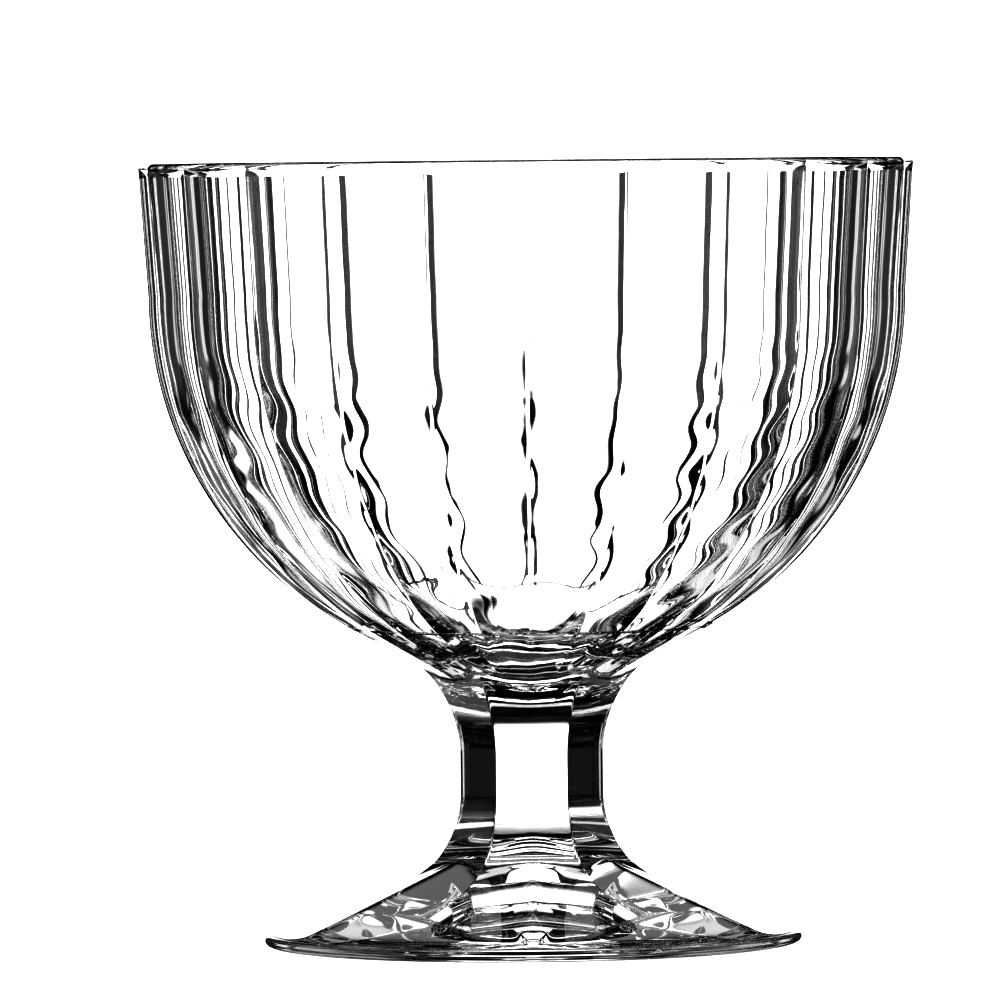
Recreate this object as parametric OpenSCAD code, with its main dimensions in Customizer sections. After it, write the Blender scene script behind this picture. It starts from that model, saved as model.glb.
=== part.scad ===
// Footed dessert glass of clear pressed glass: a deep fluted bowl, a six-sided stem and a round foot.
// The origin is the centre of the resting face, +Z is up and the front of the glass faces -Y.
// All lengths are in millimetres and all angles in degrees.

/* [Overall] */
// Height from the table to the top of the rim
total_h = 104.1; // [102:0.1:120]

/* [Rim] */
// Outer width across the smooth band at the rim
rim_w = 103; // [98:0.5:108]
// Height of the smooth band above the flutes
rim_band_h = 3; // [2.4:0.1:6]
// Thickness of the wall at the rim
rim_t = 3.2; // [2.6:0.1:4]
// Radius of the fire-polished edges at the top of the rim
rim_edge_r = 0.8; // [0.4:0.1:1.25]
// Slope under the band, where the flutes run out
band_slope = 0.9; // [0.7:0.1:1.5]

/* [Bowl] */
// Number of flat panels around the bowl
panel_count = 24; // [16:4:28]
// How far the top ends of the ridges lie inside the rim band, on each side
ridge_inset = 0.2; // [0.1:0.05:0.6]
// How far the wall leans in from there down to the shoulder, on each side
wall_lean = 1; // [0:0.1:3]
// Height of the nearly straight wall between the shoulder and the rim band
wall_h = 14.6; // [10:0.1:17]
// Radius of the bowl's curve below the shoulder, in side view
curve_r = 51; // [49:0.1:53]
// Slope of the bowl's base next to the stem, from the horizontal
base_slope = 28; // [24:0.5:32]
// Thickness of the wall at the shoulder
wall_t = 3.3; // [2.4:0.1:4.5]
// Thickness of the glass where the curve meets the base slope
base_t = 3.5; // [3:0.1:6]

/* [Stem] */
// Width of the stem across its flat faces, at the waist
stem_w = 16.5; // [14:0.1:19]
// Width across the flat faces at the top of the upper flare
stem_top_w = 25.1; // [22:0.1:28]
// Height of the upper flare
top_flare_h = 12; // [8:0.1:13]
// Width across the flat faces at the bottom of the lower flare
stem_low_w = 25.6; // [20:0.1:28]
// Height of the lower flare
low_flare_h = 11; // [7:0.1:12.4]
// How far the joint with the bowl lies below the top of the upper flare
bowl_joint_drop = 2.2; // [1.8:0.1:3]
// How far the joint with the foot lies above the bottom of the lower flare
foot_joint_rise = 2.9; // [2.4:0.1:3.6]

/* [Foot] */
// Outer width of the foot
foot_d = 71.6; // [62:0.2:80]
// Thickness of the foot's rounded edge
foot_edge_t = 1.6; // [1.2:0.1:3]
// Slope of the six faces on top of the foot, from the horizontal
foot_slope = 24.4; // [18:0.1:27]
// Width of the plain rim outside the middle of each face
face_rim_w = 4.4; // [3.8:0.1:6]
// Width of the narrow step where the ridges are cut off, inside the round of the edge
foot_step = 0.2; // [0.1:0.1:1]
// Width of the ring that the glass rests on
rest_ring_w = 5; // [3:0.1:9]
// Depth of the hollow under the foot at its centre
hollow_h = 1.6; // [1:0.1:5]

/* [Hidden] */
$fn = 96;

glass_colour = [0.84, 0.92, 0.93];

// Heights and widths of the bowl. A flat is the middle of a panel, nearer the axis than its ridges.
panel_turn = 360 / panel_count;
flat_share = cos(panel_turn / 2);
band_z = total_h - rim_band_h;
shoulder_z = band_z - wall_h;
rim_r = rim_w / 2;
ridge_r = rim_r - ridge_inset;
shoulder_r = ridge_r - wall_lean;
flute_flat = ridge_r * flat_share;
shoulder_flat = shoulder_r * flat_share;
curve_x = shoulder_flat - curve_r;
turn_x = curve_x + curve_r * sin(base_slope);
turn_z = shoulder_z - curve_r * cos(base_slope);
inside_r = shoulder_r - wall_t;
cavity_r = curve_r - base_t;
cavity_x = inside_r - cavity_r;
floor_x = max(cavity_x, 0);
mouth_r = rim_r - rim_t;
curve_steps = 14;

// Heights and widths of the stem. It has six sides, with a flat face at the front.
side_share = cos(30);
waist_half = stem_w / 2;
top_half = stem_top_w / 2;
low_half = stem_low_w / 2;
meet_z = turn_z - (turn_x - top_half / side_share) * tan(base_slope);
waist_high_z = meet_z - top_flare_h;
top_grow = top_half - waist_half;
top_flare_r = (top_flare_h * top_flare_h + top_grow * top_grow) / (2 * top_grow);
low_grow = low_half - waist_half;
low_flare_r = (low_flare_h * low_flare_h + low_grow * low_grow) / (2 * low_grow);
bowl_joint_z = meet_z - bowl_joint_drop;
bowl_joint_half = turn_x - (turn_z - bowl_joint_z) / tan(base_slope);

// Heights and widths of the foot. Its six faces turn their ridges to the stem's flat faces. The
// ridges run out to the edge, where a round trim cuts them off.
foot_r = foot_d / 2;
edge_r = foot_edge_t / 2;
face_trim_r = foot_r - edge_r - foot_step;
face_half = foot_r - face_rim_w;
neck_z = foot_edge_t + (face_half - low_half / side_share) * tan(foot_slope);
waist_low_z = neck_z + low_flare_h;
foot_joint_z = neck_z + foot_joint_rise;
// The faces stop a little below the joint, inside the stem's lower flare.
face_top_share = 0.86;
face_top_z = neck_z + foot_joint_rise * face_top_share;
face_top_half = face_half - (face_top_z - foot_edge_t) / tan(foot_slope);
rest_r = foot_r - rest_ring_w;
hollow_r = (rest_r * rest_r + hollow_h * hollow_h) / (2 * hollow_h);
// The dome is a small part of a large circle, which is drawn with more steps.
dome_steps = 720;

// One point on the bowl's curve, from the base slope at 0 to the shoulder at curve_steps.
function curve_turn(k) = (90 - base_slope) * k / curve_steps + base_slope - 90;
function curve_point(k) = [
    curve_x + curve_r * cos(curve_turn(k)),
    shoulder_z + curve_r * sin(curve_turn(k))
];
panel_line = concat(
    [[bowl_joint_half, bowl_joint_z]],
    [for (k = [0 : curve_steps]) curve_point(k)],
    [[flute_flat, band_z], [flute_flat, band_z + rim_band_h / 2]]
);
last_point = len(panel_line) - 1;

// Side view of one pair of panels: base slope, curve, wall and a stub that ends inside the rim band.
module panel_side() {
    polygon(concat(
        panel_line,
        [for (k = [last_point : -1 : 0]) [-panel_line[k][0], panel_line[k][1]]]
    ));
}

module panel_pair() {
    rotate([90, 0, 0])
        linear_extrude(height = rim_w * 2, center = true) panel_side();
}

// The fluted body: every pair of opposite panels crossed with all the others, a ridge at the front.
module fluted_body() {
    intersection_for(i = [0 : panel_count / 2 - 1])
        rotate([0, 0, (i + 0.5) * panel_turn])
            panel_pair();
}

// The smooth band at the rim, with its outer edge rounded.
module rim_band() {
    rotate_extrude() {
        polygon([
            [0, band_z - band_slope],
            [rim_r - band_slope, band_z - band_slope],
            [rim_r, band_z],
            [rim_r, total_h - rim_edge_r],
            [0, total_h - rim_edge_r]
        ]);
        translate([0, total_h - rim_edge_r]) square([rim_r - rim_edge_r, rim_edge_r]);
        intersection() {
            translate([rim_r - rim_edge_r, total_h - rim_edge_r]) circle(r = rim_edge_r);
            translate([rim_r - rim_edge_r, total_h - rim_edge_r]) square([rim_edge_r, rim_edge_r]);
        }
    }
}

// The smooth inside of the bowl: a round floor, a wall that opens a little and a rounded edge at the top.
module cavity() {
    rotate_extrude() {
        intersection() {
            translate([cavity_x, shoulder_z]) circle(r = cavity_r);
            translate([floor_x, shoulder_z - cavity_r]) square([cavity_r, cavity_r]);
        }
        if (cavity_x > 0) translate([0, shoulder_z - cavity_r]) square([cavity_x, cavity_r]);
        polygon([
            [0, shoulder_z],
            [inside_r, shoulder_z],
            [mouth_r, total_h - rim_edge_r],
            [0, total_h - rim_edge_r]
        ]);
        difference() {
            translate([0, total_h - rim_edge_r]) square([mouth_r + rim_edge_r, rim_edge_r * 2]);
            translate([mouth_r + rim_edge_r, total_h - rim_edge_r]) circle(r = rim_edge_r);
        }
    }
}

// Side view of one pair of the stem's flat faces between two heights.
module stem_side(from_z, to_z) {
    intersection() {
        union() {
            translate([-waist_half, from_z]) square([waist_half * 2, to_z - from_z]);
            difference() {
                translate([-waist_half - top_flare_r, waist_high_z])
                    square([(waist_half + top_flare_r) * 2, top_flare_r]);
                translate([waist_half + top_flare_r, waist_high_z]) circle(r = top_flare_r);
                translate([-waist_half - top_flare_r, waist_high_z]) circle(r = top_flare_r);
            }
            difference() {
                translate([-waist_half - low_flare_r, waist_low_z - low_flare_r])
                    square([(waist_half + low_flare_r) * 2, low_flare_r]);
                translate([waist_half + low_flare_r, waist_low_z]) circle(r = low_flare_r);
                translate([-waist_half - low_flare_r, waist_low_z]) circle(r = low_flare_r);
            }
        }
        translate([-foot_r, from_z]) square([foot_d, to_z - from_z]);
    }
}

// A length of the six-sided stem between two heights, with a flat face at the front.
module stem_length(from_z, to_z) {
    intersection_for(i = [0 : 2])
        rotate([0, 0, 30 + i * 60])
            rotate([90, 0, 0])
                linear_extrude(height = foot_d, center = true) stem_side(from_z, to_z);
}

// The bowl with the upper end of the stem's flare, down to the flat joint.
module bowl() {
    color(glass_colour)
        difference() {
            union() {
                fluted_body();
                rim_band();
                stem_length(bowl_joint_z, meet_z + rim_edge_r / 2);
            }
            cavity();
        }
}

// The solid stem between its two flat joints.
module stem() {
    color(glass_colour)
        stem_length(foot_joint_z, bowl_joint_z);
}

// The six sloping faces on top of the foot, trimmed round just inside the edge.
module foot_faces() {
    intersection() {
        intersection_for(i = [0 : 2])
            rotate([0, 0, i * 60])
                rotate([90, 0, 0])
                    linear_extrude(height = foot_d * 2, center = true)
                        polygon([
                            [-face_half, edge_r],
                            [face_half, edge_r],
                            [face_half, foot_edge_t],
                            [face_top_half, face_top_z],
                            [-face_top_half, face_top_z],
                            [-face_half, foot_edge_t]
                        ]);
        cylinder(h = face_top_z + edge_r, r = face_trim_r);
    }
}

// The round plate under the faces, with its rounded edge.
module foot_plate() {
    rotate_extrude() {
        square([foot_r - edge_r, foot_edge_t]);
        intersection() {
            translate([foot_r - edge_r, edge_r]) circle(r = edge_r);
            translate([foot_r - edge_r, 0]) square([edge_r, foot_edge_t]);
        }
    }
}

// The shallow dome under the foot.
module hollow() {
    rotate_extrude()
        intersection() {
            translate([0, hollow_h - hollow_r]) circle(r = hollow_r, $fn = dome_steps);
            translate([0, -edge_r]) square([foot_r, hollow_h + foot_edge_t]);
        }
}

// The foot with the lower end of the stem's flare, up to the flat joint.
module foot() {
    color(glass_colour)
        difference() {
            union() {
                foot_plate();
                foot_faces();
                stem_length(neck_z, foot_joint_z);
            }
            hollow();
        }
}

bowl();
stem();
foot();
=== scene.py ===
"""Footed dessert glass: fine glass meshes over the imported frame, on a pale floor in soft light."""
import math

import bpy
import numpy as np
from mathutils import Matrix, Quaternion, Vector


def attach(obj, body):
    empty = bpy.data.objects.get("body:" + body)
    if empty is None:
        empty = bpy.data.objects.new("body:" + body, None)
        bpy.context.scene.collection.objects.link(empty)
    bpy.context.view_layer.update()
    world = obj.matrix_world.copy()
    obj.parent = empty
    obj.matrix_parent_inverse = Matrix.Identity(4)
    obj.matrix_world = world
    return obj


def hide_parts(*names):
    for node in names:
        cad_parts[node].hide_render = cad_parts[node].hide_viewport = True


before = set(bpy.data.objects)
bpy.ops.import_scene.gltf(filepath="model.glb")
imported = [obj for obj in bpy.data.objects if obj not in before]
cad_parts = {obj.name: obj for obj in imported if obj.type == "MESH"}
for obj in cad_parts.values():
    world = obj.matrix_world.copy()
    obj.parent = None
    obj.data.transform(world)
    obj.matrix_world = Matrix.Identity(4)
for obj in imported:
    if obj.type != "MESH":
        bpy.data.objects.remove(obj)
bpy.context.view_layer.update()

# Driving sizes in millimetres, as in the part's source.
MM = 0.001
TOTAL_H = 104.1
RIM_R = 51.5
RIM_BAND_H = 3.0
RIM_T = 3.2
RIM_EDGE_R = 0.8
PANELS = 24
RIDGE_INSET = 0.2
WALL_LEAN = 1.0
WALL_H = 14.6
CURVE_R = 51.0
BASE_SLOPE = math.radians(28.0)
WALL_T = 3.3
BASE_T = 3.5
STEM_SIDES = 6
STEM_HALF = 8.25
STEM_TOP_HALF = 12.55
TOP_FLARE_H = 12.0
STEM_LOW_HALF = 12.8
LOW_FLARE_H = 11.0
BOWL_JOINT_DROP = 2.2
FOOT_JOINT_RISE = 2.9
FOOT_R = 35.8
FOOT_EDGE_T = 1.6
FOOT_SLOPE = math.radians(24.4)
FACE_RIM_W = 4.4
FOOT_STEP = 0.2
REST_RING_W = 5.0
HOLLOW_H = 1.6

# Ridges and fillets of the pressed glass: how far each is softened, in millimetres.
BOWL_RIDGE_SOFT = 0.12
STEM_RIDGE_SOFT = 0.1
FOOT_RIDGE_SOFT = 1.0
BASE_FILLET = 0.7
NECK_FILLET = 0.9
EDGE_FILLET = 0.5
RIM_FILLET = 0.7

# The flutes' hollowness as a share of a panel's half-length. It grows as the bowl narrows, down to the
# least half-width, and comes in over the given height at the bowl's foot.
FLUTE_SHARE = 0.056
FLUTE_GROWTH = 1.2
FLUTE_LEAST_FLAT = 12.0
FLUTE_FOOT_Z = 39.5
FLUTE_FOOT_H = 2.5

# The flutes fade into the smooth band at the rim between these heights.
FADE_LOW_Z = 102.2
FADE_HIGH_Z = 104.6

# How far the stem runs on into the bowl, and its lower flare outwards past its end.
STEM_OVERRUN = 1.0
FLARE_OVERRUN = 0.5

# Limits that keep the formulas within their range.
FLARE_END_SHARE = 0.999
LEAST_HALF = 0.01
LEAST_R = 1.0
NO_FILLET = 1e-4

# The fillets fade out over these heights round the joints.
BASE_REACH = 6.0
BASE_FADE_H = 4.0
NECK_GAP = 0.2
NECK_FADE_H = 2.0

# Slow waviness of the pressed inside. Each wave has its size in millimetres, its number of turns round
# the bowl, its lean per millimetre of height and its start, then its rise per millimetre of height and
# the size, number and start of the sways that bend it.
WAVES = [
    (0.1, 5, 0.31, 1.3, 0.47, 2.0, 3, 0.0),
    (0.08, 11, -0.22, 0.4, 0.83, 1.7, 5, 1.0),
]

# Fine upright streaks on the inside: size, number round the bowl, and how they sway with height.
STREAK_SIZE = 0.03
STREAKS = 19
STREAK_SWAY = 2.2
STREAK_RISE = 0.18

# The waviness comes in below this height, over this height, and fades out towards the floor's middle.
WAVE_TOP_Z = 86.0
WAVE_FADE_H = 16.0
WAVE_FLOOR_R = 6.0
WAVE_FLOOR_W = 10.0

# Sizes worked out from those above.
STEM_RIDGE_ANGLE = math.pi / STEM_SIDES
SIDE = math.cos(STEM_RIDGE_ANGLE)
SHOULDER_Z = TOTAL_H - RIM_BAND_H - WALL_H
RIDGE_R = RIM_R - RIDGE_INSET
SHOULDER_R = RIDGE_R - WALL_LEAN
FLAT = math.cos(math.pi / PANELS)
FLUTE_FLAT = RIDGE_R * FLAT
SHOULDER_FLAT = SHOULDER_R * FLAT
CURVE_X = SHOULDER_FLAT - CURVE_R
TURN_X = CURVE_X + CURVE_R * math.sin(BASE_SLOPE)
TURN_Z = SHOULDER_Z - CURVE_R * math.cos(BASE_SLOPE)
INSIDE_R = SHOULDER_R - WALL_T
CAVITY_R = CURVE_R - BASE_T
CAVITY_X = INSIDE_R - CAVITY_R
MOUTH_R = RIM_R - RIM_T
LIP_Z = TOTAL_H - RIM_EDGE_R
MEET_Z = TURN_Z - (TURN_X - STEM_TOP_HALF / SIDE) * math.tan(BASE_SLOPE)
WAIST_HIGH_Z = MEET_Z - TOP_FLARE_H
TOP_GROW = STEM_TOP_HALF - STEM_HALF
TOP_FLARE_R = (TOP_FLARE_H**2 + TOP_GROW**2) / (2 * TOP_GROW)
LOW_GROW = STEM_LOW_HALF - STEM_HALF
LOW_FLARE_R = (LOW_FLARE_H**2 + LOW_GROW**2) / (2 * LOW_GROW)
BOWL_JOINT_Z = MEET_Z - BOWL_JOINT_DROP
EDGE_R = FOOT_EDGE_T / 2
EDGE_START_R = FOOT_R - EDGE_R
FACE_TRIM_R = EDGE_START_R - FOOT_STEP
FACE_HALF = FOOT_R - FACE_RIM_W
NECK_Z = FOOT_EDGE_T + (FACE_HALF - STEM_LOW_HALF / SIDE) * math.tan(FOOT_SLOPE)
WAIST_LOW_Z = NECK_Z + LOW_FLARE_H
FOOT_JOINT_Z = NECK_Z + FOOT_JOINT_RISE
REST_R = FOOT_R - REST_RING_W
HOLLOW_R = (REST_R**2 + HOLLOW_H**2) / (2 * HOLLOW_H)

# The direction of -Y, where the viewer stands: a ridge of the bowl and of the foot points there.
FRONT = -math.pi / 2

# Steps of the meshes, from ring to ring.
START_STEPS = 3
START_H = 0.3
BASE_STEPS = 55
BASE_OVERRUN = 1.0
CURVE_STEPS = 89
CURVE_START = 0.02
SHOULDER_GAP = 0.2
WALL_STEPS = 19
FADE_STEPS = 39
LIP_STEPS = 10
INSIDE_STEPS = 39
CAVITY_STEPS = 109
STEM_STEPS = 119
HOLLOW_STEPS = 59
REST_STEPS = 5
EDGE_STEPS = 16
TRIM_STEPS = 7
FILLET_STEPS = 8
FACE_STEPS = 139
FACE_CROWDING = 0.8

# How the columns crowd round a ridge, in degrees from it, and how the ends are closed.
BOWL_OFFSETS = (0.13, 0.28, 0.45, 0.7, 1.1, 1.7, 2.6, 3.8, 5.2)
STEM_OFFSETS = (0.5, 1.1, 1.8, 2.7, 4, 6, 9, 13, 18, 24)
FOOT_OFFSETS = (0.4, 0.9, 1.5, 2.3, 3.4, 5, 7.5, 11)
CAP_SHARES = (0.66, 0.33)
MIDDLE_R = 0.02

# Material indices on each mesh.
GLASS = 0
JOINT = 1


def soft_max(a, b, k):
    """The larger of a and b, rounded where they meet by about k."""
    return (a + b + np.sqrt((a - b) ** 2 + k * k)) / 2


def smooth(t):
    """Smooth step from 0 at 0 to 1 at 1."""
    t = np.clip(t, 0, 1)
    return t * t * (3 - 2 * t)


def soft_polygon(flat, theta, sides, first_ridge, soft, hollow=0.0):
    """Radius at theta of a polygon with half-width flat across its sides.

    Its ridges are rounded over by about soft. Its sides are hollowed by that share of their half-length.
    """
    half = math.pi / sides
    turn = (theta - first_ridge + half) % (2 * half) - half
    away = np.abs(turn)
    corner = flat / math.cos(half)
    across = np.tan(half - away) / math.tan(half)
    radius = flat / np.cos(half - away) - hollow * flat * math.tan(half) * (1 - across**2)
    side_way = corner * np.sin(away)
    rounding = np.sqrt(side_way**2 + soft**2) - side_way
    return radius - (math.tan(half) + 2 * hollow) * rounding


def bowl_flat(z):
    """Half-width of the bowl across opposite panels at height z."""
    cone = TURN_X - (TURN_Z - z) / math.tan(BASE_SLOPE)
    arc = CURVE_X + np.sqrt(np.maximum(CURVE_R**2 - (SHOULDER_Z - z) ** 2, 0))
    wall = SHOULDER_FLAT + (FLUTE_FLAT - SHOULDER_FLAT) * (z - SHOULDER_Z) / WALL_H
    return np.where(z < TURN_Z, np.maximum(cone, LEAST_HALF), np.where(z < SHOULDER_Z, arc, wall))


def stem_flat(z):
    """Half-width of the stem across its flat faces at height z."""
    up = np.clip(z - WAIST_HIGH_Z, 0, TOP_FLARE_R * FLARE_END_SHARE)
    down = np.clip(WAIST_LOW_Z - z, 0, LOW_FLARE_R * FLARE_END_SHARE)
    top_flare = TOP_FLARE_R - np.sqrt(TOP_FLARE_R**2 - up**2)
    low_flare = LOW_FLARE_R - np.sqrt(LOW_FLARE_R**2 - down**2)
    return STEM_HALF + top_flare + low_flare


def stem_radius(theta, z):
    return soft_polygon(stem_flat(z), theta, STEM_SIDES, FRONT + STEM_RIDGE_ANGLE, STEM_RIDGE_SOFT)


def upper_radius(theta, z):
    """Outer radius of the bowl and of the stem above the foot's joint."""
    stem = stem_radius(theta, np.minimum(z, MEET_Z + STEM_OVERRUN))
    flat = bowl_flat(z)
    hollow = FLUTE_SHARE * (FLUTE_FLAT / np.maximum(flat, FLUTE_LEAST_FLAT)) ** FLUTE_GROWTH
    hollow = hollow * smooth((z - FLUTE_FOOT_Z) / FLUTE_FOOT_H)
    bowl = soft_polygon(flat, theta, PANELS, FRONT, BOWL_RIDGE_SOFT, hollow)
    bowl = bowl + (RIM_R - bowl) * smooth((z - FADE_LOW_Z) / (FADE_HIGH_Z - FADE_LOW_Z))
    above = smooth((z - BOWL_JOINT_Z + BASE_REACH) / BASE_FADE_H)
    below = smooth((MEET_Z + BASE_REACH - z) / BASE_FADE_H)
    body = soft_max(bowl, stem, BASE_FILLET * above * below + NO_FILLET)
    return np.minimum(body, RIM_R)


def face_height(r, theta):
    """Height of the six sloping faces on the foot."""
    flat = r / soft_polygon(1.0, theta, STEM_SIDES, FRONT, FOOT_RIDGE_SOFT / np.maximum(r, LEAST_R))
    return FOOT_EDGE_T + (FACE_HALF - flat) * math.tan(FOOT_SLOPE)


def flare_height(r, theta):
    """Height of the stem's lower flare, which runs on straight below its end."""
    soft = STEM_RIDGE_SOFT / np.maximum(r, LEAST_R)
    flat = r / soft_polygon(1.0, theta, STEM_SIDES, FRONT + STEM_RIDGE_ANGLE, soft)
    out = np.maximum(flat - STEM_HALF, 0)
    last = LOW_GROW + FLARE_OVERRUN
    reach = LOW_FLARE_R - np.minimum(out, last)
    steep = (LOW_FLARE_R - last) / math.sqrt(LOW_FLARE_R**2 - (LOW_FLARE_R - last) ** 2)
    return WAIST_LOW_Z - np.sqrt(LOW_FLARE_R**2 - reach**2) - steep * np.maximum(out - last, 0)


def foot_top(r, theta):
    """Height of the foot's upper side: the faces, blended into the flare and rounded at the trim."""
    flare = flare_height(r, theta)
    fillet = NECK_FILLET * smooth((FOOT_JOINT_Z - NECK_GAP - flare) / NECK_FADE_H) + NO_FILLET
    top = soft_max(face_height(r, theta), flare, fillet)
    over = np.clip(r - (FACE_TRIM_R - EDGE_FILLET), 0, EDGE_FILLET)
    drop = EDGE_FILLET - np.sqrt(EDGE_FILLET**2 - over**2)
    return soft_max(top - drop, FOOT_EDGE_T, RIM_FILLET)


def wave(theta, z):
    """How far the waviness moves the inside outwards. All of it goes round a whole number of times."""
    out = STREAK_SIZE * np.sin(STREAKS * theta + STREAK_SWAY * np.sin(z * STREAK_RISE))
    for size, turns, lean, start, rise, sway, sways, sway_start in WAVES:
        bend = sway * np.sin(sways * theta + sway_start)
        out = out + size * np.sin(turns * theta + z * lean + start) * np.sin(z * rise + bend)
    return out * smooth((WAVE_TOP_Z - z) / WAVE_FADE_H)


def ridge_angles(sides, first_ridge, offsets):
    """Angles of the columns, which crowd round every ridge and have one in the middle of each side."""
    half = math.pi / sides
    out = []
    for i in range(sides):
        ridge = first_ridge + i * 2 * half
        near = [math.radians(o) for o in offsets if math.radians(o) < half]
        out += [ridge + s * o for s in (-1, 1) for o in near] + [ridge, ridge + half]
    return np.unique(np.round(np.mod(np.array(out), 2 * math.pi), 9))


def ring(radius, theta, z):
    return (radius * np.cos(theta), radius * np.sin(theta), z + 0 * theta)


def grid_mesh(name, rings, cap_first, cap_last):
    """A closed mesh of rings of equal length, from one end to the other.

    Each end is closed by smaller rings and a fan, with the material index cap_first or cap_last.
    """
    columns = len(rings[0][0])
    verts = [np.stack(r, axis=1) for r in rings]
    faces, marks, middles = [], [], []

    def strip(a, b, mark):
        for j in range(columns):
            k = (j + 1) % columns
            faces.append((a * columns + j, a * columns + k, b * columns + k, b * columns + j))
            marks.append(mark)

    for i in range(len(rings) - 1):
        strip(i, i + 1, GLASS)
    fans = []
    for edge, mark, at_start in ((verts[0], cap_first, True), (verts[-1], cap_last, False)):
        middle = edge.mean(axis=0)
        inner = len(verts)
        verts.append(edge.copy())
        for share in CAP_SHARES:
            verts.append(middle + (edge - middle) * share)
            if at_start:
                strip(inner + 1, inner, mark)
            else:
                strip(inner, inner + 1, mark)
            inner += 1
        fans.append((inner, mark, at_start))
        middles.append(middle)
    points = np.concatenate(verts + [np.array(middles)])
    for index, (inner, mark, at_start) in enumerate(fans):
        centre = len(verts) * columns + index
        for j in range(columns):
            a = inner * columns + j
            b = inner * columns + (j + 1) % columns
            faces.append((b, a, centre) if at_start else (a, b, centre))
            marks.append(mark)
    mesh = bpy.data.meshes.new(name)
    mesh.from_pydata((points * MM).tolist(), [], faces)
    mesh.polygons.foreach_set("material_index", marks)
    mesh.polygons.foreach_set("use_smooth", [True] * len(faces))
    mesh.validate()
    mesh.update()
    return mesh


def bowl_rings():
    """The bowl: outside from the joint up, over the rim and down the inside to its floor."""
    theta = ridge_angles(PANELS, FRONT, BOWL_OFFSETS)
    start_z = BOWL_JOINT_Z + START_H
    curve = np.linspace(BASE_SLOPE + CURVE_START, math.pi / 2, CURVE_STEPS + 1)
    z_low = np.concatenate([
        np.linspace(BOWL_JOINT_Z, start_z, START_STEPS + 1)[:-1],
        np.linspace(start_z, TURN_Z + BASE_OVERRUN, BASE_STEPS + 1)[:-1],
        SHOULDER_Z - np.cos(curve) * CURVE_R,
    ])
    outside = np.concatenate([
        z_low[z_low < SHOULDER_Z - SHOULDER_GAP],
        np.linspace(SHOULDER_Z, FADE_LOW_Z, WALL_STEPS + 1),
        np.linspace(FADE_LOW_Z, LIP_Z, FADE_STEPS + 1)[1:],
    ])
    rings = [ring(upper_radius(theta, z), theta, z) for z in outside]
    lip_r = upper_radius(theta, LIP_Z)
    quarter = np.linspace(0, math.pi / 2, LIP_STEPS + 1)
    for a in quarter[1:]:
        rise = RIM_EDGE_R * math.sin(a)
        rings.append(ring(lip_r - RIM_EDGE_R + RIM_EDGE_R * math.cos(a), theta, LIP_Z + rise))
    for a in quarter[::-1]:
        rise = RIM_EDGE_R * math.sin(a)
        radius = MOUTH_R + RIM_EDGE_R - RIM_EDGE_R * math.cos(a)
        rings.append(ring(radius, theta, LIP_Z + rise))
    for z in np.linspace(LIP_Z, SHOULDER_Z, INSIDE_STEPS + 1)[1:]:
        radius = INSIDE_R + (MOUTH_R - INSIDE_R) * (z - SHOULDER_Z) / (LIP_Z - SHOULDER_Z)
        rings.append(ring(radius + wave(theta, z), theta, z))
    for a in np.linspace(0, math.pi / 2, CAVITY_STEPS + 1)[1:]:
        z = SHOULDER_Z - CAVITY_R * math.sin(a)
        radius = CAVITY_X + CAVITY_R * math.cos(a)
        out = wave(theta, z) * smooth((radius - WAVE_FLOOR_R) / WAVE_FLOOR_W)
        rings.append(ring(np.maximum(radius + out * math.cos(a), MIDDLE_R), theta, z - out * math.sin(a)))
    return rings


def stem_rings():
    """The stem between its joints."""
    theta = ridge_angles(STEM_SIDES, FRONT + STEM_RIDGE_ANGLE, STEM_OFFSETS)
    heights = np.linspace(FOOT_JOINT_Z, BOWL_JOINT_Z, STEM_STEPS + 1)
    return [ring(upper_radius(theta, z), theta, z) for z in heights]


def foot_rings():
    """The foot: the hollow, the resting ring, round the edge and up the faces to the joint."""
    theta = ridge_angles(2 * STEM_SIDES, FRONT, FOOT_OFFSETS)
    rings = []
    for r in np.linspace(MIDDLE_R, REST_R, HOLLOW_STEPS + 1):
        rings.append(ring(r, theta, HOLLOW_H - HOLLOW_R + math.sqrt(HOLLOW_R**2 - r**2)))
    for r in np.linspace(REST_R, EDGE_START_R, REST_STEPS + 1)[1:]:
        rings.append(ring(r, theta, 0.0))
    for a in np.linspace(-math.pi / 2, math.pi / 2, EDGE_STEPS + 1)[1:]:
        rings.append(ring(EDGE_START_R + EDGE_R * math.cos(a), theta, EDGE_R + EDGE_R * math.sin(a)))
    trim_h = np.maximum(foot_top(FACE_TRIM_R, theta) - FOOT_EDGE_T, 0)
    for u in np.linspace(0, 1, TRIM_STEPS + 1):
        rings.append(ring(FACE_TRIM_R, theta, FOOT_EDGE_T + trim_h * u))
    face_r = FACE_TRIM_R - EDGE_FILLET
    for a in np.linspace(0, math.pi / 2, FILLET_STEPS + 1)[1:]:
        r = face_r + EDGE_FILLET * math.cos(a)
        rings.append(ring(r, theta, foot_top(r, theta)))
    joint_r = stem_radius(theta, FOOT_JOINT_Z)
    for u in 1 - np.linspace(0, 1, FACE_STEPS + 1)[1:] ** FACE_CROWDING:
        r = joint_r + (face_r - joint_r) * u
        rings.append(ring(r, theta, foot_top(r, theta) if u > 0 else FOOT_JOINT_Z))
    return rings


# The glass: its refraction, the grain of its finish and the faint ripple of its surface.
GLASS_IOR = 1.52
FINISH_SCALE = 180.0
FINISH_ROUGH = 0.004
RIPPLE_SCALE = 120.0
RIPPLE_DETAIL = 1.0
RIPPLE_STRENGTH = 0.15
RIPPLE_DEPTH = 0.0002


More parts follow.
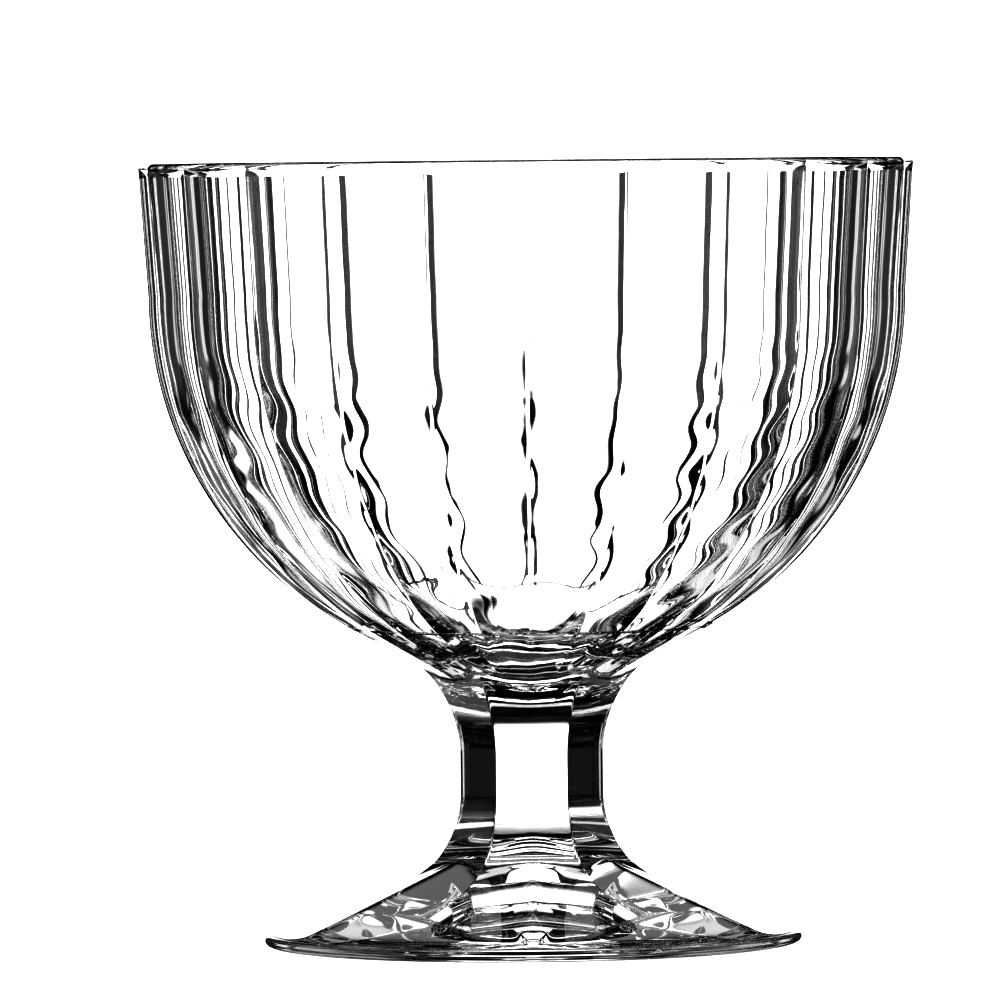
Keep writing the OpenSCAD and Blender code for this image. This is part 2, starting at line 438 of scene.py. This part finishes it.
def glass_material(name):
    """Clear pressed glass: its finish and a faint unevenness come from noise."""
    material = bpy.data.materials.new(name)
    material.use_nodes = True
    tree = material.node_tree
    shader = tree.nodes["Principled BSDF"]
    shader.inputs["Base Color"].default_value = (1, 1, 1, 1)
    shader.inputs["IOR"].default_value = GLASS_IOR
    shader.inputs["Transmission Weight"].default_value = 1.0
    place = tree.nodes.new("ShaderNodeTexCoord")
    finish = tree.nodes.new("ShaderNodeTexNoise")
    finish.inputs["Scale"].default_value = FINISH_SCALE
    tree.links.new(place.outputs["Object"], finish.inputs["Vector"])
    rough = tree.nodes.new("ShaderNodeMapRange")
    rough.inputs["To Min"].default_value = 0.0
    rough.inputs["To Max"].default_value = FINISH_ROUGH
    tree.links.new(finish.outputs["Fac"], rough.inputs["Value"])
    tree.links.new(rough.outputs["Result"], shader.inputs["Roughness"])
    ripple = tree.nodes.new("ShaderNodeTexNoise")
    ripple.inputs["Scale"].default_value = RIPPLE_SCALE
    ripple.inputs["Detail"].default_value = RIPPLE_DETAIL
    tree.links.new(place.outputs["Object"], ripple.inputs["Vector"])
    bump = tree.nodes.new("ShaderNodeBump")
    bump.inputs["Strength"].default_value = RIPPLE_STRENGTH
    bump.inputs["Distance"].default_value = RIPPLE_DEPTH
    tree.links.new(ripple.outputs["Fac"], bump.inputs["Height"])
    tree.links.new(bump.outputs["Normal"], shader.inputs["Normal"])
    return material


def joint_material():
    """The glass runs through at the joints, so the faces there don't show."""
    material = bpy.data.materials.new("fused_joint")
    material.use_nodes = True
    tree = material.node_tree
    tree.nodes.clear()
    clear = tree.nodes.new("ShaderNodeBsdfTransparent")
    output = tree.nodes.new("ShaderNodeOutputMaterial")
    tree.links.new(clear.outputs[0], output.inputs["Surface"])
    return material


def add_piece(node, rings, cap_first, cap_last, joint):
    """One glass piece in place of the CAD node of that name."""
    name = node + "_glass"
    mesh = grid_mesh(name, rings, cap_first, cap_last)
    mesh.materials.append(glass_material(name))
    mesh.materials.append(joint)
    piece = bpy.data.objects.new(name, mesh)
    bpy.context.scene.collection.objects.link(piece)
    piece.visible_shadow = False
    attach(piece, "root")
    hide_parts(node)


fused = joint_material()
add_piece("bowl", bowl_rings(), JOINT, GLASS, fused)
add_piece("stem", stem_rings(), JOINT, JOINT, fused)
add_piece("foot", foot_rings(), GLASS, JOINT, fused)

# The floor, which only the camera sees, and the sun that lights it evenly.
FLOOR_R = 1.5
FLOOR_DROP = 0.0001
FLOOR_GREY = 0.85
SUN_STRENGTH = 4.6
SUN_Z = 1.5
FLOOR_SIDES = 96


def add_floor():
    bpy.ops.mesh.primitive_circle_add(
        vertices=FLOOR_SIDES, radius=FLOOR_R, fill_type="NGON", location=(0, 0, -FLOOR_DROP)
    )
    floor = bpy.context.active_object
    floor.name = "floor"
    paper = bpy.data.materials.new("floor_paper")
    paper.use_nodes = True
    shader = paper.node_tree.nodes["Principled BSDF"]
    shader.inputs["Base Color"].default_value = (FLOOR_GREY, FLOOR_GREY, FLOOR_GREY, 1)
    shader.inputs["Roughness"].default_value = 1.0
    shader.inputs["Specular IOR Level"].default_value = 0.0
    floor.data.materials.append(paper)
    floor.visible_transmission = False
    floor.visible_glossy = False


def add_sun():
    """A sun straight above, which lights the floor and doesn't show in the glass."""
    light = bpy.data.lights.new("even_light", "SUN")
    light.energy = SUN_STRENGTH
    sun = bpy.data.objects.new("even_light", light)
    sun.location = (0, 0, SUN_Z)
    sun.visible_glossy = False
    sun.visible_transmission = False
    bpy.context.scene.collection.objects.link(sun)


add_floor()
add_sun()

# Windows of the studio, which are all that the glass shows: centres, measured from +Y towards +X,
# half-width, softness, lowest and highest elevation, softness of those two edges, all in degrees,
# and brightness.
WINDOWS = [
    ((0.0,), 12.0, 1.0, -26.0, 14.0, 2.5, 3.0),
    ((0.0,), 26.0, 4.0, 38.0, 80.0, 4.0, 3.0),
    ((-32.0, 32.0), 9.0, 3.0, -45.0, -24.0, 2.0, 1.2),
    ((-45.0,), 12.0, 3.0, -45.0, -17.0, 2.0, 2.0),
    ((-48.5, 48.5), 4.0, 1.0, -12.0, 0.0, 2.0, 1.0),
    ((-52.0, 52.0), 8.0, 2.0, 0.0, 18.0, 2.0, 1.4),
    ((-69.0, 69.0), 9.0, 3.0, 1.5, 24.0, 1.5, 0.8),
    ((-90.0, 90.0), 12.0, 3.0, -35.0, 16.0, 4.0, 1.5),
    ((-128.0, 128.0), 22.0, 3.0, -26.0, 10.0, 3.0, 1.2),
    ((-125.0, 125.0), 14.0, 3.0, 16.0, 40.0, 3.0, 1.5),
    ((-125.0, 125.0), 14.0, 3.0, 55.0, 80.0, 3.0, 1.5),
    ((135.0,), 15.0, 3.0, -35.0, 30.0, 4.0, 2.0),
    ((180.0,), 18.0, 3.0, -35.0, 16.0, 4.0, 1.5),
]
DARK = 0.01


def node_math(tree, operation, first, second=None):
    """Output of a math node, whose inputs are numbers or other outputs."""
    node = tree.nodes.new("ShaderNodeMath")
    node.operation = operation
    for socket, value in zip(node.inputs, (first, second)):
        if isinstance(value, float):
            socket.default_value = value
        elif value is not None:
            tree.links.new(value, socket)
    return node.outputs[0]


def node_step(tree, value, low, high):
    """Smooth step from 0 at low to 1 at high, both in degrees; low may be the larger."""
    node = tree.nodes.new("ShaderNodeMapRange")
    node.interpolation_type = "SMOOTHSTEP"
    node.inputs["From Min"].default_value = math.radians(low)
    node.inputs["From Max"].default_value = math.radians(high)
    tree.links.new(value, node.inputs["Value"])
    return node.outputs["Result"]


def studio_world():
    """A world that is dark apart from its windows."""
    world = bpy.data.worlds.new("studio")
    world.use_nodes = True
    tree = world.node_tree
    tree.nodes.clear()
    way = tree.nodes.new("ShaderNodeTexCoord")
    axes = tree.nodes.new("ShaderNodeSeparateXYZ")
    tree.links.new(way.outputs["Generated"], axes.inputs[0])
    azimuth = node_math(tree, "ARCTAN2", axes.outputs["X"], axes.outputs["Y"])
    elevation = node_math(tree, "ARCSINE", axes.outputs["Z"])
    level = DARK
    for centres, half, soft, low, high, edge, bright in WINDOWS:
        over = node_step(tree, elevation, low - edge, low + edge)
        under = node_step(tree, elevation, high + edge, high - edge)
        band = node_math(tree, "MULTIPLY", over, under)
        for centre in centres:
            turn = node_math(tree, "SUBTRACT", azimuth, math.radians(centre))
            away = node_math(tree, "PINGPONG", turn, math.pi)
            across = node_step(tree, away, half + soft, half - soft)
            window = node_math(tree, "MULTIPLY", across, band)
            level = node_math(tree, "MAXIMUM", node_math(tree, "MULTIPLY", window, bright), level)
    background = tree.nodes.new("ShaderNodeBackground")
    tree.links.new(level, background.inputs["Strength"])
    output = tree.nodes.new("ShaderNodeOutputWorld")
    tree.links.new(background.outputs[0], output.inputs["Surface"])
    return world


bpy.context.scene.world = studio_world()

# The camera: how large a millimetre shows at the glass, in pixels of a picture this wide, the
# distance and height of the camera, the point in the middle of the photograph, and its roll.
PX_PER_MM = 7.53
PICTURE_PX = 1000
SENSOR_W = 36.0
DISTANCE = 1400.0
CAMERA_Z = 102.0
AIM = Vector((-3.85, 0, 59.0)) * MM
ROLL = math.radians(0.59)
CLIP_NEAR = 0.05
CLIP_FAR = 50


def add_camera():
    lens = bpy.data.cameras.new("camera")
    lens.sensor_width = SENSOR_W
    lens.lens = PX_PER_MM * DISTANCE * SENSOR_W / PICTURE_PX
    lens.clip_start = CLIP_NEAR
    lens.clip_end = CLIP_FAR
    camera = bpy.data.objects.new("camera", lens)
    camera.location = (0, -DISTANCE * MM, CAMERA_Z * MM)
    look = (AIM - camera.location).to_track_quat("-Z", "Y")
    camera.rotation_euler = (look @ Quaternion((0, 0, 1), -ROLL)).to_euler()
    bpy.context.scene.collection.objects.link(camera)
    bpy.context.scene.camera = camera


add_camera()

# The strong contrast of the photograph, and enough bounces for light to pass all the glass walls.
VIEW_GAMMA = 0.5
GLASS_BOUNCES = 24
GLOSSY_BOUNCES = 8

scene = bpy.context.scene
scene.view_settings.view_transform = "Standard"
scene.view_settings.look = "None"
scene.view_settings.gamma = VIEW_GAMMA
scene.cycles.max_bounces = GLASS_BOUNCES
scene.cycles.transmission_bounces = GLASS_BOUNCES
scene.cycles.transparent_max_bounces = GLASS_BOUNCES
scene.cycles.glossy_bounces = GLOSSY_BOUNCES
scene.cycles.caustics_refractive = False
scene.cycles.caustics_reflective = False
